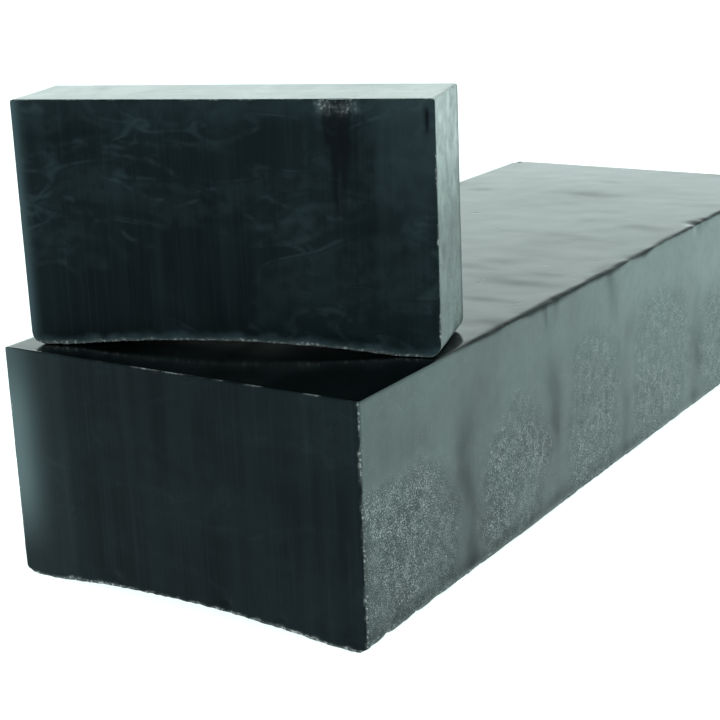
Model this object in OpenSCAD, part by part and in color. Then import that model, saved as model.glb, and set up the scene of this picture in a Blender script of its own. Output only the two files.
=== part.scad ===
// A rectangular loaf of cast black charcoal soap, its near end trimmed flat with a knife, and the
// slice that was cut from it, stood on its long edge across the top of the loaf.
//
// Frame: millimetres, +Z up. The loaf's length runs along Y, with the cut end towards -Y, and its
// width along X. The origin is the middle of the loaf's footprint, on the surface it stands on.

/* [Loaf section] */
// Width of the loaf, which is also the length of the slice
loaf_w = 90; // [70:1:110]
// Height of the loaf, which is also the height of the slice
loaf_h = 52.5; // [40:0.5:70]
// Radius of the two lower edges, from the corners of the mould
lower_edge_r = 3; // [1.5:0.5:6]
// Radius of the two upper edges, where the poured surface met the mould
upper_edge_r = 0.8; // [0.4:0.1:3]

/* [Shrunken underside] */
// Width of the flat strip along each side that the block stands on, its rounded edge included
foot_w = 8; // [7:0.5:14]
// How far the middle of the underside has drawn up as the block cured
sink = 2.1; // [0.5:0.1:3.5]

/* [Loaf length] */
// Length of the loaf that is left, from the cut end to the moulded end
loaf_l = 240; // [120:5:320]
// Radius of the two upright corners of the moulded end
end_corner_r = 6; // [2:0.5:12]

/* [Slice] */
// Thickness of the slice
slice_t = 22; // [15:0.5:30]
// Turn of the slice against the loaf's width, in degrees
slice_turn = 17.5; // [0:0.5:20]
// Distance from the loaf's left side to the slice's near left corner
slice_from_side = 4.5; // [0:0.1:10]
// Distance from the loaf's cut end to the slice's near left corner
slice_from_cut = 4; // [0:0.5:10]

/* [Colours] */
// Colour of the loaf
loaf_colour = "#1c2426"; // ["#1c2426", "#101416", "#2b3437"]
// Colour of the slice
slice_colour = "#141b1d"; // ["#1c2426", "#141b1d", "#2b3437"]

/* [Hidden] */
$fn = 64;
// Half of the arch's chord, from the loaf's middle to the inner side of a foot strip
arch_half = loaf_w / 2 - foot_w;
// Radius of the arch that has this chord and rises by sink
arch_r = (arch_half * arch_half + sink * sink) / (2 * sink);
// How far a cutting shape runs past the solid that it cuts
past = 5;

// Cross-section in X and Y, its foot on Y = 0: a rectangle with two radii below and two above
module section_outline() {
    half = loaf_w / 2;
    for (side = [-1, 1]) {
        translate([side * (half - lower_edge_r), lower_edge_r]) circle(r = lower_edge_r);
        translate([side * (half - upper_edge_r), loaf_h - upper_edge_r]) circle(r = upper_edge_r);
    }
    translate([-half, lower_edge_r]) square([loaf_w, loaf_h - lower_edge_r - upper_edge_r]);
    translate([-half + lower_edge_r, 0]) square([loaf_w - 2 * lower_edge_r, loaf_h / 2]);
    translate([-half + upper_edge_r, loaf_h / 2]) square([loaf_w - 2 * upper_edge_r, loaf_h / 2]);
}

// A length of the loaf's section from Y = 0 to Y = length, standing on Z = 0, with its sunken underside
module cast_bar(length) {
    difference() {
        translate([0, length, 0]) rotate([90, 0, 0]) linear_extrude(height = length) section_outline();
        translate([0, length + past, sink - arch_r]) rotate([90, 0, 0])
            cylinder(r = arch_r, h = length + 2 * past, $fn = 360);
    }
}

// Outline of the loaf from above: square at the cut end, rounded at the moulded end
module plan_outline() {
    half = loaf_w / 2;
    translate([-half - past, -past]) square([loaf_w + 2 * past, loaf_l - end_corner_r + past]);
    translate([-half + end_corner_r, 0]) square([loaf_w - 2 * end_corner_r, loaf_l]);
    for (side = [-1, 1])
        translate([side * (half - end_corner_r), loaf_l - end_corner_r]) circle(r = end_corner_r);
}

module loaf() {
    color(loaf_colour)
        translate([0, -loaf_l / 2, 0])
            intersection() {
                cast_bar(loaf_l);
                translate([0, 0, -past]) linear_extrude(height = loaf_h + 2 * past) plan_outline();
            }
}

module slice() {
    color(slice_colour)
        translate([-loaf_w / 2 + slice_from_side, -loaf_l / 2 + slice_from_cut, loaf_h])
            rotate([0, 0, slice_turn])
                translate([loaf_w / 2, 0, 0]) cast_bar(slice_t);
}

loaf();
slice();
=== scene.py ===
# %% [markdown]
# # A loaf of black charcoal soap and the slice cut from it
#
# The object is two solid blocks of the same cast, waxy black soap: a long loaf with one end cut off
# flat, and the slice that came off, stood on its long edge across the loaf. Nothing is fitted to
# either block, so all the interest is in the surface: knife marks, frosting, crumbled edges and a
# sheen that comes and goes with the angle. This lesson builds both blocks as dense meshes whose
# shape is worked out by formula, then gives each kind of surface its own finish.
#
# ## The frame
#
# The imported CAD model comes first. Every place below is worked out from its two blocks.

# %% Load the frame and keep its box
import math

import bpy
import numpy as np
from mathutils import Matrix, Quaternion, Vector


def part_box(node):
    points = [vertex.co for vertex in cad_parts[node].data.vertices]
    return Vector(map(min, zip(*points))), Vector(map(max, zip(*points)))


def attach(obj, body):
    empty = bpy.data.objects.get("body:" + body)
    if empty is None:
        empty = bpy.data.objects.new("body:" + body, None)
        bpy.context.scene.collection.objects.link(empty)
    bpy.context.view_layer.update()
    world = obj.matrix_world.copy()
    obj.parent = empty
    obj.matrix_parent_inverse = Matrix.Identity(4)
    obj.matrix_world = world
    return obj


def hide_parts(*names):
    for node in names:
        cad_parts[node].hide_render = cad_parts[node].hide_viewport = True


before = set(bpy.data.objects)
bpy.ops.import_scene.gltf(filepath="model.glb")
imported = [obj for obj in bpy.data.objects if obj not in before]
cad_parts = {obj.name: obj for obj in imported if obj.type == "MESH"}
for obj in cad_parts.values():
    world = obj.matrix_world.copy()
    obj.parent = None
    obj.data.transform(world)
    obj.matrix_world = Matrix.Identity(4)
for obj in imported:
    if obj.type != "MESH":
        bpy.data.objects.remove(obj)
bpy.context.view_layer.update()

MM = 0.001

# %% [markdown]
# The loaf lies square to the axes, so its corners give its width, length and height. The slice is
# turned, so its corners don't: its largest flat faces are the two cuts, and their direction gives
# the turn. The slice then gets a frame of its own, with X along its length, Y through its
# thickness and Z up, and the same section as the loaf, because it was cut from it.

# %% Measure the two blocks
loaf_low, loaf_high = (np.array(corner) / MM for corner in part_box("loaf"))
slice_low, slice_high = (np.array(corner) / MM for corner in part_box("slice"))
WIDTH = loaf_high[0] - loaf_low[0]
LENGTH = loaf_high[1] - loaf_low[1]
HEIGHT = loaf_high[2] - loaf_low[2]


def slice_turn():
    """The angle between the slice's length and the loaf's width, from the slice's largest face."""
    biggest = max(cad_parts["slice"].data.polygons, key=lambda face: face.area)
    turn = math.atan2(biggest.normal.x, -biggest.normal.y)
    return (turn + math.pi / 2) % math.pi - math.pi / 2


TURN = slice_turn()
SPREAD = slice_high[0] - slice_low[0]
THICKNESS = (SPREAD - WIDTH * math.cos(TURN)) / math.sin(TURN)
SLICE_MIDDLE = (slice_low + slice_high) / 2
print("loaf", WIDTH, LENGTH, HEIGHT, "slice", round(THICKNESS, 2), "turned", round(math.degrees(TURN), 2))

# %% [markdown]
# ## Mesh code that both blocks share
#
# A block could be a cube with a bevel and a subdivision surface, but then its cells would be too
# large to hold a chip or a crumb, or too many to export. Here the cells are small at the edges,
# where the wear is, and larger in the middle of each face. `grid_lines` works out where the lines
# between cells go along one side, and `box_shell` lays a skin of such cells over a box.

# %% Lay a skin of cells over a box
def grid_lines(low, high, fine, coarse, reach):
    """Lines from low to high: fine apart at both ends, and coarse apart from reach inwards."""
    along = np.linspace(low, high, 4001)
    inwards = np.minimum(along - low, high - along)
    size = fine + (coarse - fine) * np.clip(inwards / reach, 0, 1)
    steps = np.concatenate([[0], np.cumsum(np.diff(along) / size[1:])])
    return np.interp(np.linspace(0, steps[-1], math.ceil(steps[-1]) + 1), steps, along)


def box_shell(lines):
    """Points and four-sided faces of a closed box whose cells follow the lines along X, Y and Z."""
    counts = [len(line) for line in lines]
    index = np.full(counts, -1)
    skin = np.zeros(counts, bool)
    for axis in range(3):
        for end in (0, -1):
            skin[tuple(end if a == axis else slice(None) for a in range(3))] = True
    index[skin] = np.arange(skin.sum())
    points = np.stack([grid[skin] for grid in np.meshgrid(*lines, indexing="ij")], axis=-1)
    faces = []
    for axis in range(3):
        for end in (0, -1):
            sheet = index[tuple(end if a == axis else slice(None) for a in range(3))]
            quads = np.stack([sheet[:-1, :-1], sheet[1:, :-1], sheet[1:, 1:], sheet[:-1, 1:]], axis=-1)
            outwards = (end == -1) == (axis != 1)
            faces.append(quads.reshape(-1, 4) if outwards else quads.reshape(-1, 4)[:, ::-1])
    return points, np.concatenate(faces)


# %% [markdown]
# The mould's corners are round. `round_edge` turns the square corner between two directions into
# a quarter circle and eases the points behind it, so that the cells stay even. `arch` is how far
# the underside has drawn up: the outside of a casting cures hard first, and the middle shrinks
# away from the bottom of the mould.

# %% Round an edge, and draw the underside up
LOWER_EDGE = 3.0
UPPER_EDGE = 0.8
MOULDED_CORNER = 6.0
CUT_EDGE = 0.35
FOOT = 8.0
SINK = 2.1


def round_edge(points, first, second, radius):
    """Rounds one edge. first and second are (axis, where the edge is, +1 or -1 for outwards)."""
    depth = []
    for axis, edge, outwards in (first, second):
        depth.append(np.clip(1 - (edge - points[:, axis]) * outwards / radius, 0, 1))
    moved = [
        depth[0] * np.sqrt(1 - depth[1] ** 2 / 2),
        depth[1] * np.sqrt(1 - depth[0] ** 2 / 2),
    ]
    inside = (depth[0] > 0) & (depth[1] > 0)
    for (axis, edge, outwards), new in zip((first, second), moved):
        points[inside, axis] = edge - outwards * radius * (1 - new[inside])


def arch(across):
    """Height of the sunken underside at a distance across from the block's middle."""
    half = WIDTH / 2 - FOOT
    radius = (half**2 + SINK**2) / (2 * SINK)
    return np.maximum(np.sqrt(radius**2 - np.minimum(np.abs(across), half) ** 2) - radius + SINK, 0)


def give_section(points, height):
    """Gives a box the loaf's section: two wide radii below, two small ones above, and the arch."""
    for side in (-1, 1):
        round_edge(points, (0, side * WIDTH / 2, side), (2, 0, -1), LOWER_EDGE)
        round_edge(points, (0, side * WIDTH / 2, side), (2, height, 1), UPPER_EDGE)
    points[:, 2] += arch(points[:, 0]) * (1 - points[:, 2] / height) ** 2


# %% [markdown]
# Wear is never even, so it needs noise: numbers that wander smoothly over the surface. Blender's
# textures could move the mesh through modifiers, but numpy does a hundred thousand points at once
# and the same field can then also tint the finish. `drift` blends random numbers on a lattice and
# gives -1 to 1. `rough` piles up finer and finer drifts, as broken soap does.

# %% Noise that wanders over a surface
def lattice(cell, seed):
    """A repeatable number from 0 to 1 for each whole-number cell."""
    mixed = (cell * np.array([73856093, 19349663, 83492791])).sum(axis=-1) + seed * 2654435761
    mixed = (mixed ^ (mixed >> 13)) & 0xFFFFFFFF
    mixed = (mixed * 1274126177) & 0xFFFFFFFF
    mixed = ((mixed ^ (mixed >> 16)) * 2246822519) & 0xFFFFFFFF
    return (mixed ^ (mixed >> 15)) / 0xFFFFFFFF


def drift(points, size, seed):
    """Smooth noise from -1 to 1 whose bumps are about size millimetres. size may differ per axis."""
    place = points / np.array(size, float)
    cell = np.floor(place).astype(np.int64)
    part = place - cell
    part = part * part * (3 - 2 * part)
    total = 0
    for corner in np.ndindex(2, 2, 2):
        share = np.prod(np.where(np.array(corner), part, 1 - part), axis=-1)
        total = total + share * lattice(cell + np.array(corner), seed)
    return total * 2 - 1


def rough(points, size, seed, layers=3):
    """Noise with finer layers on top, from about -1 to 1."""
    total = 0
    for layer in range(layers):
        total = total + drift(points, np.array(size, float) / 2**layer, seed + layer) / 2**layer
    return total / 1.6


def ramp(value, start, end):
    """0 before start, 1 after end, and smooth between."""
    share = np.clip((value - start) / (end - start), 0, 1)
    return share * share * (3 - 2 * share)


print("noise check", np.round(rough(np.array([[1.0, 2.0, 3.0], [40.0, 5.0, 9.0]]), 4, 1), 3))


# %% [markdown]
# `normals` gives the outward direction at each point, so that a height field can push the surface
# in or out. `make_block` turns the arrays into a Blender object. It stores the fields that the
# finishes need, such as how crumbled the surface is, as attributes of the mesh: they ride with the
# piece, and a material reads them by name.

# %% From arrays to a Blender piece
def normals(points, faces):
    """Unit outward direction at every point."""
    across = points[faces[:, 2]] - points[faces[:, 0]]
    down = points[faces[:, 3]] - points[faces[:, 1]]
    facing = np.cross(across, down)
    total = np.zeros_like(points)
    for corner in range(4):
        np.add.at(total, faces[:, corner], facing)
    return total / np.maximum(np.linalg.norm(total, axis=1, keepdims=True), 1e-12)


def make_block(name, points, faces, fields, finishes, finish_of_face):
    """A smooth-shaded closed piece in metres, with its fields and one material slot per finish."""
    mesh = bpy.data.meshes.new(name)
    mesh.from_pydata((points * MM).tolist(), [], faces.tolist())
    mesh.polygons.foreach_set("use_smooth", np.ones(len(faces), bool))
    for label, values in fields.items():
        layer = mesh.attributes.new(label, "FLOAT", "POINT")
        layer.data.foreach_set("value", np.ascontiguousarray(values, np.float32))
    for finish in finishes:
        mesh.materials.append(finish)
    mesh.polygons.foreach_set("material_index", finish_of_face.astype(np.int32))
    mesh.update()
    piece = bpy.data.objects.new(name, mesh)
    bpy.context.scene.collection.objects.link(piece)
    print(name, len(points), "points", 2 * len(faces), "triangles")
    return piece


# %% [markdown]
# ## Shader maths
#
# A finish is a network of nodes. Wired by hand, even a small one is hard to read, so a `Wire`
# stands for one signal and the usual signs add the Math nodes: `1 - mask * 0.5` is two nodes.
# Any other node comes from the one method `node`, which takes the node's type, its settings and
# what goes into its sockets.

# %% A signal in a material
class Wire:
    def __init__(self, tree, socket=None):
        self.tree = tree
        self.socket = socket

    def node(self, kind, settings=None, inputs=None, output=0):
        """Adds a node, sets it up, feeds it, and returns the signal from one of its outputs."""
        made = self.tree.nodes.new(kind)
        for key, value in (settings or {}).items():
            setattr(made, key, value)
        for key, value in (inputs or {}).items():
            if isinstance(value, Wire):
                self.tree.links.new(value.socket, made.inputs[key])
            else:
                made.inputs[key].default_value = value
        return Wire(self.tree, made.outputs[output])

    def maths(self, operation, first, second=0.0):
        return self.node("ShaderNodeMath", {"operation": operation}, {0: first, 1: second})

    def __add__(self, other):
        return self.maths("ADD", self, other)

    __radd__ = __add__

    def __mul__(self, other):
        return self.maths("MULTIPLY", self, other)

    __rmul__ = __mul__

    def __sub__(self, other):
        return self.maths("SUBTRACT", self, other)

    def __rsub__(self, other):
        return self.maths("SUBTRACT", other, self)

    def between(self, start, end):
        """0 where the signal is at start, 1 where it is at end, smooth between."""
        inputs = {0: self, 1: start, 2: end, 3: 0.0, 4: 1.0}
        return self.node("ShaderNodeMapRange", {"interpolation_type": "SMOOTHSTEP"}, inputs)

    def most(self, other):
        return self.maths("MAXIMUM", self, other)

    def line(self, width):
        """A thin line wherever the signal crosses a half: 1 on it, 0 at width to either side."""
        return self.maths("ABSOLUTE", self - 0.5).between(width, 0.0)


# %% [markdown]
# Every finish here starts alike: an empty material with one Principled shader, which takes the
# constants on its own sockets, and signals that most of them share. `field` reads one of the
# mesh's attributes. `grain` is Blender's noise, laid out in millimetres on the piece itself, so
# that it stays with the piece when it is picked up. Stretching it along one axis makes streaks.

# %% The start of every finish
def new_finish(name, **constants):
    """A material with one Principled shader. Returns the material, a Wire to build with, the shader."""
    material = bpy.data.materials.new(name)
    material.use_nodes = True
    tree = material.node_tree
    shader = tree.nodes["Principled BSDF"]
    for socket, value in constants.items():
        shader.inputs[socket.replace("_", " ").title().replace("Ior", "IOR")].default_value = value
    return material, Wire(tree), shader


def field(wire, name):
    return wire.node("ShaderNodeAttribute", {"attribute_name": name}, output="Fac")


def spot(wire, stretch=(1, 1, 1)):
    """The place on the piece in millimetres, divided by stretch along each axis."""
    place = wire.node("ShaderNodeTexCoord", output="Object")
    scale = tuple(1 / (MM * s) for s in stretch)
    return place.node("ShaderNodeVectorMath", {"operation": "MULTIPLY"}, {0: place, 1: scale})


def grain(place, size, detail=2.0, bend=0.0):
    """Noise from 0 to 1 with bumps of about size millimetres."""
    inputs = {"Vector": place, "Scale": 1 / size, "Detail": detail, "Distortion": bend}
    return place.node("ShaderNodeTexNoise", {}, inputs)


def blend(wire, share, first, second):
    """A colour from first, where share is 0, to second, where it is 1."""
    settings = {"data_type": "RGBA", "clamp_factor": True}
    return wire.node("ShaderNodeMix", settings, {0: share, 6: first, 7: second}, output=2)


def tone(red, green, blue):
    return (red, green, blue, 1.0)


def finish_off(wire, shader, colour, roughness, height, depth, dull=None):
    """Feeds the shader: its colour, its roughness and a height in millimetres for its bumps.

    Where dull is 1 a second shader with hardly any shine takes over."""
    bump = wire.node("ShaderNodeBump", {}, {"Strength": 1.0, "Distance": depth * MM, "Height": height})
    links = wire.tree.links
    links.new(colour.socket, shader.inputs["Base Color"])
    links.new(roughness.socket, shader.inputs["Roughness"])
    links.new(bump.socket, shader.inputs["Normal"])
    if dull is None:
        return
    inputs = {"Base Color": colour, "Normal": bump, "Roughness": 0.6, "Specular IOR Level": 0.05}
    matt = wire.node("ShaderNodeBsdfPrincipled", {}, inputs)
    shiny = Wire(wire.tree, shader.outputs[0])
    both = wire.node("ShaderNodeMixShader", {}, {0: dull, 1: shiny, 2: matt})
    links.new(both.socket, wire.tree.nodes["Material Output"].inputs["Surface"])


# %% [markdown]
# ## The cut face
#
# A long knife or a wire was pushed down through the block. It leaves the darkest and smoothest
# face of all: near black, with fine upright drag lines, a few torn films that show as thin
# wandering veils, and a paler rim where light gets a little way into the thin edge. Lines could be
# modelled, but they are finer than a cell of the mesh, so bump carries the fine ones and the mesh
# carries the broad ones. The specular level is held low, because the dragged surface is slightly
# torn everywhere and gives back less light than a poured one.

# %% Finish of a cut face
CUT_BLACK = tone(0.0014, 0.0045, 0.0064)
CUT_BLUE_BLACK = tone(0.0044, 0.0100, 0.0120)
DRAG_GREY = tone(0.013, 0.022, 0.026)
BAND_GREY = tone(0.012, 0.022, 0.025)
FILM_GREY = tone(0.030, 0.048, 0.053)
SMEAR_AND_GROOVE_SHADE = tone(0.0008, 0.0022, 0.0036)
DUST_GREY = tone(0.10, 0.13, 0.135)
CRUMB_SHADE = tone(0.095, 0.105, 0.108)
PALE_CRUMB_AND_GLINT = tone(0.40, 0.41, 0.415)


def cut_finish(name, veil_strength, pale_and_painted_glow, shine):
    material, wire, shader = new_finish(name, ior=1.47, specular_ior_level=shine)
    place = spot(wire)
    drag = grain(spot(wire, (0.55, 0.55, 30)), 1.0, 4.0)
    bands = grain(spot(wire, (6, 6, 160)), 1.0, 1.0)
    cloud = grain(place, 24, 3.0, 0.6)
    torn = grain(place, 3.0, 4.0)
    film = grain(spot(wire, (2.3, 2.3, 1.0)), 15, 2.0, 0.9)
    fold = grain(spot(wire, (1.5, 1.5, 1.0)), 9, 1.0, 1.6)
    # Thin veils where two noises cross a half, broader films beside them, all torn into pieces.
    veils = film.line(0.035) * cloud.between(0.40, 0.58) * 0.9
    veils = veils.most(fold.line(0.03) * cloud.between(0.50, 0.62) * 0.7)
    veils = veils.most(film.between(0.50, 0.56) * film.between(0.66, 0.58) * 0.35)
    veils = veils * torn.between(0.30, 0.62)
    placed_films = field(wire, "frost")
    veils = (veils * 0.75).most(placed_films * torn.between(0.25, 0.60) * 0.8)
    speck = grain(place, 0.7, 2.0).between(0.50, 0.66)
    dust = grain(place, 0.45).between(0.79, 0.84) * torn.between(0.5, 0.6)
    crumb_and_glint = field(wire, "crumb_and_glint")
    haze_and_painted_light = field(wire, "haze_and_painted_light")
    smear = field(wire, "wet_and_painted_shade")
    dark = blend(wire, cloud.between(0.3, 0.75), CUT_BLACK, CUT_BLUE_BLACK)
    dark = blend(wire, drag.between(0.45, 0.8) * 0.30, dark, DRAG_GREY)
    dark = blend(wire, bands.between(0.42, 0.62) * 0.16, dark, BAND_GREY)
    veiled = blend(wire, veils * veil_strength, dark, FILM_GREY)
    # Painted light: a pale glow beside the thin left edge and, on the slice, a paler upper right and top; on
    # the slice the same tone also pales a crumbled strip along the bottom edge.
    glow = blend(wire, haze_and_painted_light, veiled, pale_and_painted_glow)
    # Darker in the slice's smear, and painted shade down its groove.
    glow = blend(wire, smear, glow, SMEAR_AND_GROOVE_SHADE)
    glow = blend(wire, dust * 0.6, glow, DUST_GREY)
    # Pale broken crumb; along the slice's top edges and on its bubble flakes the same pale is a painted
    # highlight.
    broken = blend(wire, speck, CRUMB_SHADE, PALE_CRUMB_AND_GLINT)
    colour = blend(wire, crumb_and_glint, glow, broken)
    roughness = 0.34 + cloud * 0.14 + veils * 0.1 + crumb_and_glint * 0.35 - smear * 0.14
    height = drag * 0.5 + grain(place, 0.5) * 0.2 + veils * 0.3 + crumb_and_glint * grain(place, 0.35) * 2.5
    finish_off(wire, shader, colour, roughness, height, 0.05)
    return material


CUT_LOAF = cut_finish("loaf_cut_face", 0.20, tone(0.105, 0.145, 0.155), 0.065)
CUT_SLICE = cut_finish("slice_cut_face", 0.62, tone(0.055, 0.085, 0.098), 0.05)
print("finishes", CUT_LOAF.name, CUT_SLICE.name)

# %% [markdown]
# ## The moulded sides
#
# The sides took the mould's satin skin. Where damp air met them they frosted: rounded patches of
# fine pale crystals, which thin out to single specks at their rims, and between them smooth darker
# bands where the skin stayed wet. The patches could be painted, but a formula in the mesh's field
# `frost` says where they are, and fine noise breaks them into specks here. Wet skin is darker and
# duller, so the field that marks it also fades in a second shader that hardly shines; under the
# slumped top edge that field is painted shade. A painted sheen pales the sides upwards and, on the
# loaf, towards the far end.

# %% Finish of a moulded side
PIT_GREY = tone(0.020, 0.036, 0.035)
RIM_GREY = tone(0.10, 0.14, 0.135)
POWDER_GREY = tone(0.085, 0.110, 0.106)
HOLLOW_BLACK = tone(0.008, 0.018, 0.018)
WET_SIDE_AND_PAINTED_SHADE = tone(0.004, 0.012, 0.0125)
CRYSTAL_WHITE = tone(0.35, 0.385, 0.38)
CHIP_SHADE = tone(0.05, 0.07, 0.07)
CHIP_PALE = tone(0.34, 0.37, 0.37)


def side_finish(name, body, bloom, painted_sheen_tone, marks, shine):
    material, wire, shader = new_finish(name, ior=1.5, specular_ior_level=shine)
    place = spot(wire)
    cloud = grain(place, 15, 4.0, 0.5)
    streak = grain(spot(wire, (1.3, 1.3, 22)), 1.0, 3.0)
    crystal = grain(place, 0.21, 1.0)
    clump = grain(place, 2.2, 3.0)
    haze_and_painted_light = field(wire, "haze_and_painted_light")
    frost = field(wire, "frost")
    crumb_and_glint = field(wire, "crumb_and_glint")
    wet_and_painted_shade = field(wire, "wet_and_painted_shade")
    mottle = grain(place, 2.6, 3.0)
    speckle = (crystal + clump * 0.26 + frost * 0.14).between(0.82, 0.93) * frost.between(0.02, 0.5)
    powder = (crystal + clump * 0.40).between(0.55, 0.85) * frost.between(0.05, 0.75)
    stray = (crystal + clump * 0.4).between(0.86, 0.96) * 0.25
    rim = frost.between(0.05, 0.30) * frost.between(0.65, 0.30)
    ground = blend(wire, cloud.between(0.3, 0.7), body, bloom)
    ground = blend(wire, streak.between(0.45, 0.8) * 0.30, ground, bloom)
    # Painted sheen: the side pales upwards and, on the loaf, towards the far end, where the bright room is
    # mirrored at a low angle.
    ground = blend(wire, haze_and_painted_light, ground, painted_sheen_tone)
    ground = blend(wire, mottle.between(0.40, 0.70) * marks, ground, PIT_GREY)
    ground = blend(wire, rim * 0.30, ground, RIM_GREY)
    ground = blend(wire, powder * 0.38, ground, POWDER_GREY)
    ground = blend(wire, crystal.between(0.46, 0.30) * frost * 0.7, ground, HOLLOW_BLACK)
    # Darker where the skin is wet, and painted shade along the slumped top edge.
    ground = blend(wire, wet_and_painted_shade, ground, WET_SIDE_AND_PAINTED_SHADE)
    frosted = blend(wire, speckle.most(stray) * (1 - wet_and_painted_shade * 0.8), ground, CRYSTAL_WHITE)
    broken = blend(wire, grain(place, 0.7).between(0.5, 0.68), CHIP_SHADE, CHIP_PALE)
    colour = blend(wire, crumb_and_glint, frosted, broken)
    roughness = 0.25 + cloud * 0.16 + frost * 0.22 + speckle * 0.2 + crumb_and_glint * 0.3 - wet_and_painted_shade * 0.06
    height = streak * 0.35 + crystal * frost * 1.2 + grain(place, 0.6) * 0.2 + crumb_and_glint * crystal * 2.5
    height = height + cloud * 1.5
    finish_off(wire, shader, colour, roughness, height, 0.06, wet_and_painted_shade * 0.75)
    return material


SIDE_LOAF = side_finish(
    "loaf_moulded_side",
    body=tone(0.006, 0.019, 0.020),
    bloom=tone(0.024, 0.048, 0.046),
    painted_sheen_tone=tone(0.105, 0.158, 0.148),
    marks=0.18,
    shine=0.40,
)
# The slice's side is the same skin as the loaf's, painted paler in body, bloom and sheen: a lit copy, painted
# light.
SIDE_SLICE = side_finish(
    "slice_moulded_side",
    body=tone(0.020, 0.040, 0.039),
    bloom=tone(0.060, 0.095, 0.090),
    painted_sheen_tone=tone(0.34, 0.42, 0.40),
    marks=0.50,
    shine=0.42,
)

# %% [markdown]
# ## The underside
#
# The underside dried slowly against the mould's liner. It is dull, dark and a little grainy, and
# gives back hardly any light, so the gap under the arch stays black.

# %% Finish of an underside
FOOT_BLACK = tone(0.0015, 0.0035, 0.0042)
FOOT_GREY = tone(0.0045, 0.009, 0.010)
FOOT_CRUMB = tone(0.20, 0.22, 0.22)


def foot_finish(name):
    material, wire, shader = new_finish(name, ior=1.45, specular_ior_level=0.06)
    place = spot(wire)
    cloud = grain(place, 12, 3.0)
    grit = grain(place, 0.9, 3.0)
    crumb_and_glint = field(wire, "crumb_and_glint")
    colour = blend(wire, cloud.between(0.3, 0.7), FOOT_BLACK, FOOT_GREY)
    colour = blend(wire, crumb_and_glint * grit.between(0.4, 0.65), colour, FOOT_CRUMB)
    finish_off(wire, shader, colour, 0.55 + cloud * 0.2, grit + cloud * 2, 0.08)
    return material


FOOT_FINISH = foot_finish("dull_underside")
print("finish", FOOT_FINISH.name)

# %% [markdown]
# ## The poured top
#
# The top set in open air and was wiped with spirit, so it is the glossiest skin. Its own colour is
# almost black: what looks pale on it is the bright room, mirrored at a low angle. It needs very
# little colour, a low roughness that varies in smears, and shallow ripples that bend the mirror.

# %% Finish of a poured top
TOP_BLACK = tone(0.0010, 0.0020, 0.0023)
TOP_GREY = tone(0.0035, 0.0065, 0.0065)
PINHOLE_GREY = tone(0.06, 0.08, 0.08)
PALE_SMEAR_AND_SHEEN = tone(0.030, 0.045, 0.043)
WET_TOP_AND_PAINTED_SHADE = tone(0.002, 0.0058, 0.0062)
TOP_CHIP = tone(0.30, 0.33, 0.33)


def top_finish(name, shine, smear_size, satin):
    material, wire, shader = new_finish(name, ior=1.5, specular_ior_level=shine)
    place = spot(wire)
    smear = grain(spot(wire, (smear_size, smear_size * 1.6, 8)), 1.0, 4.0, 0.8)
    wiped = grain(spot(wire, (26, 1.4, 8)), 1.0, 3.0)
    pin = grain(place, 0.9, 1.0).between(0.75, 0.80)
    pock = grain(place, 3.2, 1.0, 0.5).between(0.72, 0.80)
    haze_and_painted_light = field(wire, "haze_and_painted_light")
    wet_and_painted_shade = field(wire, "wet_and_painted_shade")
    crumb_and_glint = field(wire, "crumb_and_glint")
    ground = blend(wire, smear.between(0.35, 0.7), TOP_BLACK, TOP_GREY)
    # Painted sheen: pale pinholes and smears show only where the sheen field is, so the loaf's top pales
    # towards the far end.
    ground = blend(wire, pin * haze_and_painted_light * 0.4, ground, PINHOLE_GREY)
    ground = blend(wire, haze_and_painted_light * smear.between(0.4, 0.7) * 0.5, ground, PALE_SMEAR_AND_SHEEN)
    # Darker where wet, and painted shade along the slumped edge.
    ground = blend(wire, wet_and_painted_shade, ground, WET_TOP_AND_PAINTED_SHADE)
    colour = blend(wire, crumb_and_glint, ground, TOP_CHIP)
    roughness = satin + smear * 0.12 + wiped * 0.04 + crumb_and_glint * 0.4 + wet_and_painted_shade * 0.14
    height = smear * 0.6 + wiped * 0.12 + grain(place, 0.7) * 0.08
    height = height + (pin * 0.3 - pock * 0.9) * haze_and_painted_light - wet_and_painted_shade * 0.5
    finish_off(wire, shader, colour, roughness, height, 0.06, wet_and_painted_shade * 0.6)
    return material


TOP_LOAF = top_finish("loaf_poured_top", shine=0.155, smear_size=14, satin=0.08)
TOP_SLICE = top_finish("slice_poured_top", shine=0.42, smear_size=9, satin=0.15)
print("finishes", SIDE_LOAF.name, SIDE_SLICE.name, TOP_LOAF.name, TOP_SLICE.name)

# %% [markdown]
# ## Wear that both blocks share
#
# A soft block wears first along its edges. The lower edges of a cut crumble, because the knife
# tears out of the block there, and the other edges lose small chips. `edge_wear` works out how
# near a point is to two faces at once, and from that a bite out of the surface and a pale crumb
# field, which roughens and pales the finish. Along the top edges of the slice's cut faces the same
# pale crumb is a painted highlight line.

# %% Crumbled and chipped edges
def beside(distance, reach):
    """1 on an edge, falling to 0 at reach millimetres from it."""
    return 1 - ramp(distance, 0, reach)


def edge_wear(points, first, second, seed, reach, bite, share):
    """Bite in millimetres and crumb from 0 to 1 along the edge where both distances are small."""
    away = np.hypot(first, second)
    patches = ramp(rough(points, 5.0, seed), 1 - 2 * share, 1.3 - 2 * share)
    grit = rough(points, 0.8, seed + 7)
    near = beside(away, reach * (0.8 + 0.4 * drift(points, 2.0, seed + 3)))
    crumb_and_glint = np.clip(2.2 * near * patches * (0.35 + 0.65 * ramp(grit, -0.7, 0.1)), 0, 1)
    return bite * near * patches * (0.3 + 0.7 * grit), crumb_and_glint


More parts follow.
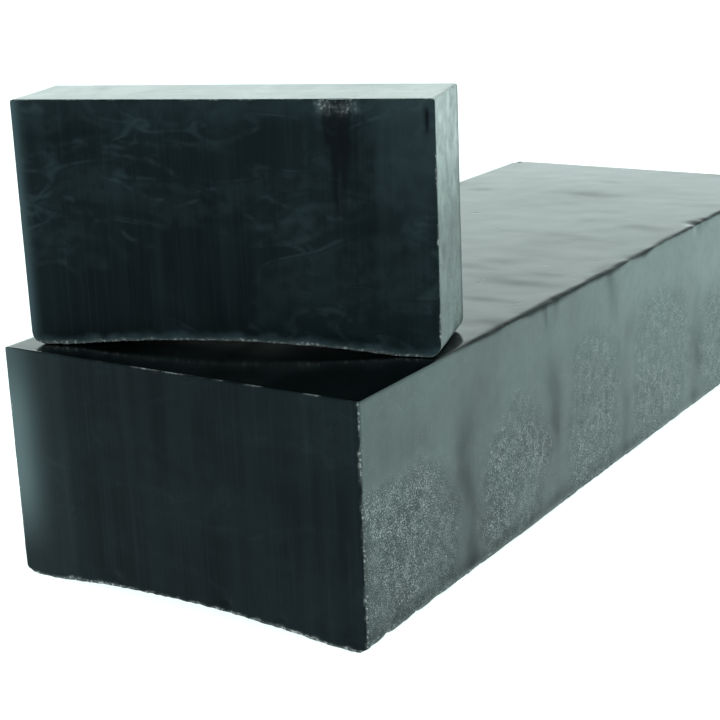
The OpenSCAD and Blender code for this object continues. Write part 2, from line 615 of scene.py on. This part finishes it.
# %% [markdown]
# Both blocks are worn by the same kind of step: push the surface in or out a little, by a formula
# of where a point is and which way it faces. A `Skin` works those out once. Distances are in
# millimetres, measured in the block's own frame, and the last number given to `drift` or `rough`
# only picks one pattern of noise out of many.

# %% What the wear needs to know about each point
FACE_ON = (0.6, 0.9)


class Skin:
    """A shell's points: where each is, which way it faces, and how far it is from the edges."""

    def __init__(self, points, faces):
        self.points = points
        self.out = normals(points, faces)
        self.x, self.y, self.z = points.T
        self.on_side = ramp(np.abs(self.out[:, 0]), *FACE_ON)
        self.on_cut = ramp(np.abs(self.out[:, 1]), *FACE_ON)
        self.on_front = ramp(-self.out[:, 1], *FACE_ON)
        self.on_top = ramp(self.out[:, 2], *FACE_ON)
        self.to_side = WIDTH / 2 - np.abs(self.x)
        self.to_top = HEIGHT - self.z
        self.to_floor = self.z - arch(self.x) * (1 - self.z / HEIGHT) ** 2
        self.to_top_right = np.hypot(self.to_top, WIDTH / 2 - self.x)

    def drift(self, size, seed):
        return drift(self.points, size, seed)

    def rough(self, size, seed, layers=3):
        return rough(self.points, size, seed, layers)

    def worn_edges(self, rims):
        """Push and crumb along several edges: two distances, seed, reach, bite and share for each."""
        push = np.zeros(len(self.points))
        crumb_and_glint = np.zeros(len(self.points))
        for rim in rims:
            bitten, crumbled = edge_wear(self.points, *rim)
            push -= bitten
            crumb_and_glint = np.maximum(crumb_and_glint, crumbled)
        return push, crumb_and_glint

    def pushed(self, push):
        return self.points + self.out * push[:, None]


def hump(*distances):
    """1 where every distance is 0, falling away like a bell: about a third at a distance of 1."""
    return np.exp(-sum(distance**2 for distance in distances))


# %% [markdown]
# ## The loaf
#
# The loaf's shell gets the section, the round corners of the moulded end, and a crisp edge round
# the cut. Then come the shapes that are large enough for the mesh: a gentle swell of the sides,
# upright ridges where the mould's liner wrinkled, dents along the top edge, pits in the cut face
# and the crumbled rims. The top sinks by a fraction of a millimetre, so the slice stands clear.

# %% Shape of the loaf
def loaf_shell():
    lines = [
        grid_lines(-WIDTH / 2, WIDTH / 2, 0.4, 1.15, 7),
        grid_lines(0, LENGTH, 0.35, 1.25, 60),
        grid_lines(0, HEIGHT, 0.4, 1.0, 7),
    ]
    points, faces = box_shell(lines)
    give_section(points, HEIGHT)
    for level, outwards, radius in ((0, -1, LOWER_EDGE), (HEIGHT, 1, UPPER_EDGE)):
        round_edge(points, (2, level, outwards), (1, 0, -1), CUT_EDGE)
        round_edge(points, (2, level, outwards), (1, LENGTH, 1), radius)
    for side in (-1, 1):
        round_edge(points, (0, side * WIDTH / 2, side), (1, LENGTH, 1), MOULDED_CORNER)
        round_edge(points, (0, side * WIDTH / 2, side), (1, 0, -1), CUT_EDGE)
    return points, faces


points, faces = loaf_shell()
print("loaf shell", len(points), "points", len(faces), "faces")

# %% [markdown]
# The frosted patches sit one after another along the side, each about as tall as the mould let
# the damp in, with a smooth band between them. A short list gives each patch's middle and width
# along the loaf and its share of the height, and noise makes the rims ragged.

# %% Where the sides are frosted
FROST_PATCHES = [  # middle, width, share of the height
    (15, 47, 0.58),
    (62, 36, 0.62),
    (104, 33, 0.74),
    (148, 40, 0.68),
    (190, 35, 0.60),
    (222, 22, 0.70),
]
FROST_RIM = 2.4  # 2 would make the patches' outlines ellipses, and more makes them squarer
BAND_WIDTH = 3.8
print(len(FROST_PATCHES), "frosted patches on each side")


def frosted_patches(at):
    """How frosted a point of the side is: rounded patches with ragged rims."""
    ragged = at.rough(9.0, 41) * 0.22 + at.drift(16.0, 42) * 0.20
    frost = np.zeros(len(at.points))
    for middle, wide, tall in FROST_PATCHES:
        across = np.abs(at.y - middle) / (wide / 2)
        up = np.abs(at.z - HEIGHT * tall * 0.45) / (HEIGHT * tall * 0.66)
        away = (across**FROST_RIM + up**FROST_RIM) ** (1 / FROST_RIM)
        frost = np.maximum(frost, 1 - ramp(away + ragged, 0.60, 1.28))
    return frost


def smooth_bands(at):
    """1 in the wet upright bands between one frosted patch and the next, fading out upwards."""
    upright = at.points * np.array([0, 0, 1.0])
    wander = 1.8 * drift(upright, 14, 31) + 2.4 * at.rough(7, 32)
    band = np.zeros(len(at.points))
    for (middle, wide, _), (following, next_wide, _) in zip(FROST_PATCHES, FROST_PATCHES[1:]):
        centre = (middle + wide / 2 + following - next_wide / 2) / 2
        band = np.maximum(band, hump((at.y - centre - wander) / BAND_WIDTH))
    band = band * np.clip(0.70 + 0.9 * at.rough((9, 12, 14), 33), 0, 1)
    return band * at.on_side * ramp(at.to_top + 4 * at.drift(9, 42), 10, 26)


def loaf_frost(at, band):
    """The patches, and a thin frost over the rest of the side that leaves out the wet bands."""
    thin = 0.42 * ramp(at.to_top + 8 * at.rough(13, 43), 10, 30) * (1 - 0.9 * band)
    return np.maximum(frosted_patches(at), thin) * at.on_side * ramp(at.to_top, 1, 9)


# %% [markdown]
# The loaf's shape comes next: broad swells first, then the edges, then single marks. The single
# marks are short lists too, so that one can be moved without touching the rest.

# %% Shape of the worn loaf
CUT_PITS = [  # across, up, width
    (32.6, 23.7, 0.6),
    (-19.1, 3.9, 1.0),
    (10.6, 4.1, 0.7),
    (24.5, 3.2, 0.6),
]
PIT_DEPTH = 0.7
EDGE_DENTS = [  # along the right top edge, width, depth
    (171, 2.4, 0.9),
    (176, 1.6, 0.5),
    (84, 1.0, 0.3),
    (127, 1.3, 0.3),
    (60, 0.8, 0.25),
]
print(len(CUT_PITS), "pits in the cut face,", len(EDGE_DENTS), "dents in the top edge")


def loaf_swells(at, frost, band):
    """Broad unevenness of the sides and the cut, and the slight sinking of the top."""
    side = 0.28 * at.drift((60, 34, 40), 3) - 0.05 * band + 0.07 * at.rough((9, 7, 30), 4)
    side += frost * 0.07 * at.drift(1.3, 5)
    top = 0.20 + 0.20 * at.drift((30, 42, 30), 6) + 0.03 * at.drift(6, 7)
    cut = 0.10 * at.drift((9, 50, 120), 8) + 0.035 * at.drift((1.1, 50, 60), 9)
    return at.on_side * side - at.on_top * top + at.on_front * cut


def loaf_edges(at):
    """Push and crumb of the edges, the lumpy foot near the cut and the slumped right top edge."""
    push, crumb_and_glint = at.worn_edges([
        (at.to_floor, at.y, 11, 1.1, 0.30, 0.85),
        (at.to_side, at.y, 12, 0.6, 0.06, 0.72),
        (at.to_top, at.y, 13, 0.45, 0.14, 0.42),
        (at.to_floor, at.to_side, 14, 3.6, 0.60, 0.66),
        (at.to_top, at.to_side, 15, 0.5, 0.14, 0.06),
    ])
    foot = ramp(np.abs(at.out[:, 0]), 0.1, 0.4) * beside(at.to_floor, 6) * beside(at.y, 55)
    push -= 1.3 * foot * ramp(at.rough(4.0, 17), -0.2, 0.6)
    crumb_and_glint = np.maximum(crumb_and_glint, foot * ramp(at.rough(0.9, 18), -0.2, 0.4))
    slump = beside(at.to_top_right, 1.8) * ramp(at.y, 22, 60)
    push -= slump * np.clip(0.12 + 0.40 * at.rough((4, 7, 4), 16), 0, 1)
    return push, crumb_and_glint


def loaf_marks(at):
    """Single pits in the cut face and single dents in the right top edge."""
    push = np.zeros(len(at.points))
    for across, level, wide in CUT_PITS:
        push -= at.on_front * PIT_DEPTH * hump((at.x - across) / wide, (at.z - level) / wide)
    for along, wide, deep in EDGE_DENTS:
        push -= deep * hump((at.y - along) / wide, at.to_top_right / wide)
    return push


# %% [markdown]
# Two more fields tint the loaf. The first is where the skin is dark and dull: smudges on the top,
# patches along the top's side edges, drips that ran down from the slumped edge, the smooth bands, a
# band just above the foot and the low side near the cut. Along the slumped right top edge it is
# painted shade, a dark line under the lip. The second is painted light with a little random tone:
# painted sheen that pales the sides towards the far end and upwards and shows pale smears on the
# far part of the top, and a painted glow beside the left of the cut face, where light gets into the
# thin edge, with a faint paler step across the left of that face.

# %% Wet and hazy places on the loaf
SMUDGES = [  # across, along, width, length
    (31, 94, 11, 3),
    (30, 77, 7, 2),
    (41, 60, 5, 3),
    (0, 197, 9, 3),
]
DRIPS = [  # along, lean, width, length, darkness
    (78, 0.25, 0.9, 11, 0.8),
    (84, -0.1, 1.4, 8, 0.5),
    (113, 0.35, 2.6, 19, 0.6),
]
CUT_SHEEN_STEP = (29.0, 30.2)


# Dark, dull skin: smudges, drips, the smooth bands, patches along the top's side edges, a band above the foot
# and the low side near the cut; the dark line along the slumped right top edge is painted shade.
def loaf_wet_and_painted_shade(at, band):
    top = ramp(at.rough((16, 8, 9), 51, 4), 0.10, 0.95) * ramp(at.y, 45, 65) * 0.30
    top = np.maximum(top, beside(at.to_side, 6) * ramp(at.rough(7, 52), 0.0, 0.8) * 0.5)
    for across, along, wide, long in SMUDGES:
        blot = ((at.x - across) / wide) ** 2 + ((at.y - along) / long) ** 2
        top += 0.42 * np.exp(-blot * (1 + 0.8 * at.rough(5, 56)))
    # Painted shade: a dark line along the slumped right top edge, under its lip.
    lip_width = np.maximum(1.3 + 1.2 * at.rough((3, 9, 3), 53), 0.5)
    lip = beside(at.to_top_right, lip_width) * ramp(at.y, 24, 50)
    side = band * 0.50
    for along, lean, wide, long, dark in DRIPS:
        side += 0.8 * dark * hump((at.y - along - lean * at.to_top) / wide) * beside(at.to_top, long)
    above_foot = np.abs(at.to_floor - 3.5 + 1.5 * at.rough(6, 55))
    side += 0.45 * beside(above_foot, 3.5) * (1 - 0.6 * ramp(at.y, 60, 200))
    side += 0.22 * beside(at.to_floor, 30) * beside(at.y, 70)
    return np.clip(at.on_top * top + 1.5 * lip + at.on_side * side, 0, 1)


# Painted light on the loaf, with a little random tone on the sides: a painted glow beside the left of the cut
# face and a faint paler step across its left; painted sheen that pales the sides towards the far end and
# upwards; and on the top, towards the far end, the field that lets pale smears show.
def loaf_haze_and_painted_light(at):
    left = hump((at.x + WIDTH / 2) / 6.0) * ramp(at.z, 2, 24) * (1 - 0.5 * ramp(at.z, 36, 52))
    cut = left + 0.05 * ramp(-at.x, *CUT_SHEEN_STEP)
    side = 0.70 * ramp(at.y, 40, 190) + 0.22 * at.rough((20, 16, 12), 54) + 0.30 * ramp(at.z, 12, 46)
    top = 0.9 * ramp(at.y, 40, 70)
    return np.clip(at.on_front * cut + at.on_side * side + at.on_top * top, 0, 1)


def wear_loaf(points, faces):
    """The worn points of the loaf and the fields its finishes read."""
    at = Skin(points, faces)
    band = smooth_bands(at)
    frost = loaf_frost(at, band)
    edges, crumb_and_glint = loaf_edges(at)
    push = loaf_swells(at, frost, band) + edges + loaf_marks(at)
    fields = {"crumb_and_glint": crumb_and_glint, "frost": frost, "wet_and_painted_shade": loaf_wet_and_painted_shade(at, band), "haze_and_painted_light": loaf_haze_and_painted_light(at)}
    return at.pushed(push), fields


loaf_points, loaf_fields = wear_loaf(points, faces)
print("loaf pushed by up to", round(float(np.abs(loaf_points - points).max()), 2), "mm")


# %% [markdown]
# Each cell takes its finish from the way it faces on the plain shell, before the wear, so that the
# border between two finishes runs true along the edge.

# %% Put the loaf together
def finish_of_faces(points, faces):
    """1 for a moulded side, 2 for the poured top, 3 for the underside; the cuts, 0, come after."""
    out = normals(points, faces)[faces].mean(axis=1)
    kind = np.ones(len(faces), int)
    kind[out[:, 2] > 0.75] = 2
    kind[out[:, 2] < -0.9] = 3
    return kind, out


LOAF_FINISHES = [CUT_LOAF, SIDE_LOAF, TOP_LOAF, FOOT_FINISH]
SLICE_FINISHES = [CUT_SLICE, SIDE_SLICE, TOP_SLICE, FOOT_FINISH]
loaf_kind, loaf_out = finish_of_faces(points, faces)
loaf_kind[loaf_out[:, 1] < -0.75] = 0
loaf_points[:, 1] += loaf_low[1]
loaf_points[:, 2] += loaf_low[2]
loaf = make_block("loaf_block", loaf_points, faces, loaf_fields, LOAF_FINISHES, loaf_kind)
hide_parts("loaf")
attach(loaf, "loaf")

# %% [markdown]
# ## The slice
#
# The slice is the same section, cut twice, so both of its big faces are cut faces. It keeps
# smaller cells than the loaf, because it is the nearest piece and its edges tell the most: the
# knife came out along the lower edge and tore it, a bubble broke open at the top edge, and one
# short groove runs down near the right end.

# %% Shape of the slice
def slice_shell():
    lines = [
        grid_lines(-WIDTH / 2, WIDTH / 2, 0.22, 0.46, 6),
        grid_lines(0, THICKNESS, 0.22, 0.5, 4),
        grid_lines(0, HEIGHT, 0.22, 0.46, 6),
    ]
    points, faces = box_shell(lines)
    give_section(points, HEIGHT)
    for front, outwards in ((0, -1), (THICKNESS, 1)):
        for side in (-1, 1):
            round_edge(points, (0, side * WIDTH / 2, side), (1, front, outwards), CUT_EDGE)
        round_edge(points, (2, 0, -1), (1, front, outwards), CUT_EDGE)
        round_edge(points, (2, HEIGHT, 1), (1, front, outwards), CUT_EDGE)
    return points, faces


# %% [markdown]
# The knife tore a few films open across the slice's front face. Each is given by a handful of
# stops, millimetres from the left side and down from the top, with noise to make it wander.

# %% Films on the slice
SLICE_FILMS = [  # stops from the left, levels down from the top
    ((0, 13, 23, 38, 43), (13, 9, 9.5, 9.5, 12)),
    ((8, 23, 37, 57, 75), (8, 11, 16, 21, 26)),
    ((17, 30, 41, 50), (16, 21, 22, 19)),
    ((38, 46, 55, 66), (17, 22, 27, 34)),
    ((0, 9, 20, 31), (21, 19, 25, 33)),
]
FILM_WIDTH = 0.5
FILM_END = 3
print(len(SLICE_FILMS), "films on the slice")


def slice_films(at, from_left):
    films = np.zeros(len(at.points))
    wander = 1.9 * at.rough(5, 84)
    for stops, levels in SLICE_FILMS:
        level = np.interp(from_left, stops, levels) + wander
        started = ramp(from_left, stops[0], stops[0] + FILM_END)
        ended = ramp(from_left, stops[-1] - FILM_END, stops[-1])
        films = np.maximum(films, started * (1 - ended) * hump((at.to_top - level) / FILM_WIDTH))
    return at.on_front * films * ramp(at.rough(3.0, 85), -0.5, 0.6)


# %% [markdown]
# The bubble burst through the top edge of the front face. It leaves a ragged hole, two flakes of
# skin that stand a little proud beside it and are painted pale as glints, a curl of film below and
# a dark smear dragged down.

# %% Wear of the slice
BUBBLE = 70
LEFT_FLAKE = (67.6, 1.4)
RIGHT_FLAKE = (72.2, 1.6)
CURL = (69.2, 5.2)
CURL_RADIUS = 1.4
SMEAR = 70.5
GROOVE = 88.2


def slice_swells(at):
    cut = 0.10 * at.drift((8, 40, 110), 63) + 0.03 * at.drift((0.9, 40, 50), 64)
    cut += 0.10 * at.rough((16, 40, 12), 65)
    side = 0.10 * at.rough((9, 4, 26), 66)
    top = 0.10 + 0.10 * at.drift((24, 12, 20), 67)
    return at.on_cut * cut + at.on_side * side - at.on_top * top


def slice_flakes_and_glints(at, from_left):
    left, right = LEFT_FLAKE, RIGHT_FLAKE
    flakes_and_glints = hump((from_left - left[0]) / 1.5, (at.to_top - left[1]) / 1.3)
    flakes_and_glints += 0.6 * hump((from_left - right[0]) / 1.9, (at.to_top - right[1]) / 1.4)
    return at.on_front * flakes_and_glints * ramp(at.rough(1.4, 83), -0.9, 0.1)


def slice_smear(at, from_left, streaks):
    wander = 2.0 * at.rough((3, 40, 12), 81)
    reach = 27 + 16 * at.rough((1.5, 40, 6), 87)
    smear = hump(((from_left - SMEAR - wander) / 4.6) ** 2) * beside(at.to_top - 2, reach)
    return 0.8 * ramp(at.on_front * smear + 0.45 * streaks, 0.25, 0.75)


# Painted light on the slice: a painted glow along the thin left edge of the front, a paler upper right and a
# paler band at the top of it, and painted sheen on the sides, paler upwards, and on the top. The pale strip
# along the bottom edge is crumbled soap, and the sides carry a little random tone.
def slice_haze_and_painted_light(at, from_left, streaks):
    front = 0.9 * hump(from_left / 1.6)
    front += 0.20 * ramp(from_left + 4 * streaks, 74, 82) * ramp(at.z, 18, 46)
    front += 0.06 * ramp(at.z, 46, 51)
    front += 0.75 * beside(at.to_floor + 0.8 * at.rough((2, 9, 2), 86), 2.6)
    side = 0.25 + 0.9 * ramp(at.z, 22, 52) + 0.30 * at.rough((5, 5, 7), 82)
    return at.on_front * front + at.on_side * side + at.on_top * 0.7


def wear_slice(points, faces):
    """The worn points of the slice and the fields its finishes read."""
    at = Skin(points, faces)
    from_left = at.x + WIDTH / 2
    to_cut = np.minimum(at.y, THICKNESS - at.y)
    push, crumb_and_glint = at.worn_edges([
        (at.to_floor, to_cut, 71, 1.1, 0.26, 0.90),
        (at.to_side, to_cut, 72, 0.4, 0.05, 0.45),
        # Painted highlight: the pale crumb along the top edges of the cut faces stands for a thin bright
        # line.
        (at.to_top, to_cut, 73, 0.35, 0.06, 0.80),
        (at.to_top, at.to_side, 74, 0.7, 0.16, 0.50),
    ])
    tear = at.rough(2.2, 75)
    streaks = at.rough((1.2, 40, 30), 79)
    bubble = hump(((from_left - BUBBLE) / 3.4) ** 2, at.to_top / (2.4 + tear), at.y / 1.2)
    hole = at.on_front * 0.8 * bubble * np.clip(0.8 + 1.3 * at.rough(1.5, 80), 0, 2)
    flakes_and_glints = slice_flakes_and_glints(at, from_left)
    curl = np.hypot(from_left - CURL[0], (at.to_top - CURL[1]) * 0.8) - CURL_RADIUS
    curl = at.on_front * hump(curl / 0.4) * ramp(tear, -0.6, 0.2)
    # The groove is pushed in, and painted dark inside: painted shade.
    groove = at.on_front * hump((from_left - GROOVE) / 0.45)
    groove = groove * ramp(at.to_top, 1, 3) * beside(at.to_top - 5, 3)
    push += slice_swells(at) - hole + 0.45 * flakes_and_glints - 0.45 * groove
    moved = at.pushed(push)
    moved[:, 2] = np.maximum(moved[:, 2], 0)
    frost = at.on_side * (1 - 0.6 * ramp(at.z + 6 * at.rough(6, 76), 22, 40))
    frost = frost * ramp(at.rough(4, 77), -0.8, 0.3)
    back_strip = at.on_side * beside(THICKNESS - at.y, 3.0)
    fields = {
        # The flakes are painted pale as well: painted glints.
        "crumb_and_glint": np.maximum(crumb_and_glint, 0.55 * flakes_and_glints),
        "frost": frost * 0.8 + slice_films(at, from_left) + curl,
        "wet_and_painted_shade": np.clip(0.6 * back_strip + slice_smear(at, from_left, streaks) + groove, 0, 1),
        "haze_and_painted_light": np.clip(slice_haze_and_painted_light(at, from_left, streaks) + flakes_and_glints, 0, 1),
    }
    return moved, fields


points, faces = slice_shell()
slice_points, slice_fields = wear_slice(points, faces)
slice_kind, slice_out = finish_of_faces(points, faces)
slice_kind[np.abs(slice_out[:, 1]) > 0.75] = 0
slice_points[:, 1] -= THICKNESS / 2
the_slice = make_block("cut_slice", slice_points, faces, slice_fields, SLICE_FINISHES, slice_kind)
the_slice.location = Vector((SLICE_MIDDLE[0], SLICE_MIDDLE[1], slice_low[2])) * MM
the_slice.rotation_euler = (0, 0, TURN)
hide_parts("slice")
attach(the_slice, "slice")

# %% [markdown]
# ## The floor, the light and the camera
#
# Black soap shows nothing but what it mirrors, so the room matters more than the lamps. A white
# table and a white room give it pale sheens at low angles and leave the faces that look at the
# viewer dark. The room is a ring of light, brightest a little above the table on every side, so
# the blocks look alike from all round. The camera sees plain white behind them.

# %% A white table
FLOOR_HALF = 4.0  # metres
TABLE_GREY = tone(0.50, 0.50, 0.50)
TABLE_GLOW = tone(0.88, 1.0, 0.985)


def white_floor():
    mesh = bpy.data.meshes.new("table_top")
    corners = [(-FLOOR_HALF, -FLOOR_HALF, 0), (FLOOR_HALF, -FLOOR_HALF, 0), (FLOOR_HALF, FLOOR_HALF, 0)]
    mesh.from_pydata([*corners, (-FLOOR_HALF, FLOOR_HALF, 0)], [], [(0, 1, 2, 3)])
    floor = bpy.data.objects.new("table_top", mesh)
    bpy.context.scene.collection.objects.link(floor)
    material, _, shader = new_finish("white_table", roughness=0.7, specular_ior_level=0.2)
    shader.inputs["Base Color"].default_value = TABLE_GREY
    shader.inputs["Emission Color"].default_value = TABLE_GLOW
    shader.inputs["Emission Strength"].default_value = 1.0
    floor.data.materials.append(material)


white_floor()
print("table", 2 * FLOOR_HALF, "m wide")


# %% [markdown]
# The room's light is worked out from the direction alone: how far it is above the horizon, and
# how far round it is towards the back left, where the brightest wall is.

# %% A white room
BRIGHT_WALL = (-0.55, 0.8, 0.25)
ROOM_TINT = tone(0.84, 1.0, 0.97)
BACKDROP = 1.05


def white_room():
    world = bpy.data.worlds.new("white_room")
    world.use_nodes = True
    bpy.context.scene.world = world
    tree = world.node_tree
    wire = Wire(tree)
    way = wire.node("ShaderNodeTexCoord", output="Generated")
    up = way.node("ShaderNodeSeparateXYZ", {}, {0: way}, output="Z")
    ring = up.between(0.62, 0.20)
    behind = way.node("ShaderNodeVectorMath", {"operation": "DOT_PRODUCT"}, {0: way, 1: BRIGHT_WALL}, "Value")
    strength = 0.45 + ring * 0.85 + behind.between(0.1, 1.0) * 0.6
    seen = wire.node("ShaderNodeLightPath", output="Is Camera Ray")
    strength = strength * (1 - seen) + seen * BACKDROP
    colour = blend(wire, seen, ROOM_TINT, tone(1, 1, 1))
    background = tree.nodes["Background"]
    tree.links.new(colour.socket, background.inputs["Color"])
    tree.links.new(strength.socket, background.inputs["Strength"])


white_room()
print("room", bpy.context.scene.world.name)

# %% [markdown]
# A long lens from a little above, a third of a right angle round from the cut end. The camera is
# placed from the top middle of that end, and leans by two degrees, as it would in the hand.

# %% Camera
LENS = 84.7
STAND = (209.3, -252.8, 97.7)
HEADING = math.radians(32.9)
DIP = math.radians(16.55)
LEAN = math.radians(-2.33)


def set_camera():
    data = bpy.data.cameras.new("camera")
    data.lens = LENS
    data.sensor_width = 36
    camera = bpy.data.objects.new("camera", data)
    bpy.context.scene.collection.objects.link(camera)
    cut_top = Vector((0, loaf_low[1], loaf_high[2]))
    camera.location = (cut_top + Vector(STAND)) * MM
    look = Quaternion((0, 0, 1), HEADING) @ Quaternion((1, 0, 0), math.pi / 2 - DIP)
    camera.rotation_mode = "QUATERNION"
    camera.rotation_quaternion = look @ Quaternion((0, 0, 1), LEAN)
    bpy.context.scene.camera = camera


set_camera()
print("camera at", [round(v, 4) for v in bpy.context.scene.camera.location])
bpy.context.scene.view_settings.view_transform = "Standard"
